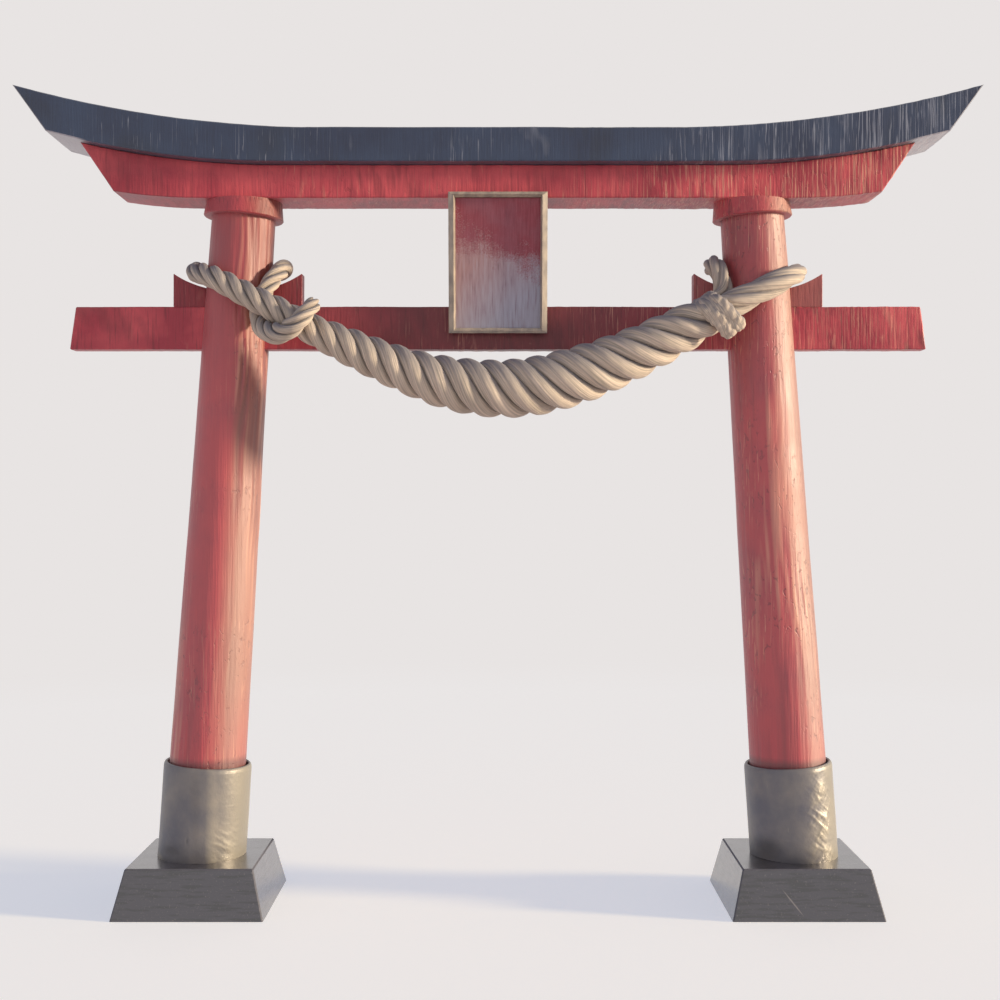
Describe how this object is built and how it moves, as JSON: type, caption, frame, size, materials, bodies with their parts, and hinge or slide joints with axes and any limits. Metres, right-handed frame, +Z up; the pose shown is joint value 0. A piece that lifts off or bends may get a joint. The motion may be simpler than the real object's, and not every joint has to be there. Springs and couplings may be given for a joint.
{
  "type": "japanese shrine gate",
  "caption": "Timber shrine gate: leaning round pillars on stone plinths, upturned double lintel, wedged tie beam, tablet and a thick hanging straw rope.",
  "frame": {"origin": "on the ground, midway between the two pillars and in the middle of the gate's depth", "axes": "+X along the lintels, +Y through the gate away from the tablet's side, +Z up"},
  "size_m": [3.991, 0.6762, 3.3912],
  "materials": {
    "vermilion_paint": "matte",
    "black_paint": "matte",
    "plinth_stone": "matte",
    "sleeve_metal": "satin",
    "tablet_frame_wood": "matte",
    "tablet_panel_paint": "matte",
    "rice_straw": "matte"
  },
  "bodies": {
    "root": {"left_plinth": "plinth_stone", "left_sleeve": "sleeve_metal", "left_pillar": "vermilion_paint", "left_collar": "vermilion_paint", "left_outer_wedge": "vermilion_paint", "left_inner_wedge": "vermilion_paint", "right_plinth": "plinth_stone", "right_sleeve": "sleeve_metal", "right_pillar": "vermilion_paint", "right_collar": "vermilion_paint", "right_outer_wedge": "vermilion_paint", "right_inner_wedge": "vermilion_paint", "tie_beam": "vermilion_paint", "lower_lintel": "vermilion_paint", "strut": "vermilion_paint", "top_lintel": "black_paint", "tablet_sill": "tablet_frame_wood", "tablet_head": "tablet_frame_wood", "tablet_left_stile": "tablet_frame_wood", "tablet_right_stile": "tablet_frame_wood", "lower_batten": "vermilion_paint", "upper_batten": "vermilion_paint", "tablet_panel": "tablet_panel_paint", "rope_left_tail": "rice_straw", "rope_left_wrap": "rice_straw", "rope_middle": "rice_straw", "rope_right_wrap": "rice_straw", "rope_right_tail": "rice_straw"}
  },
  "joints": []
}
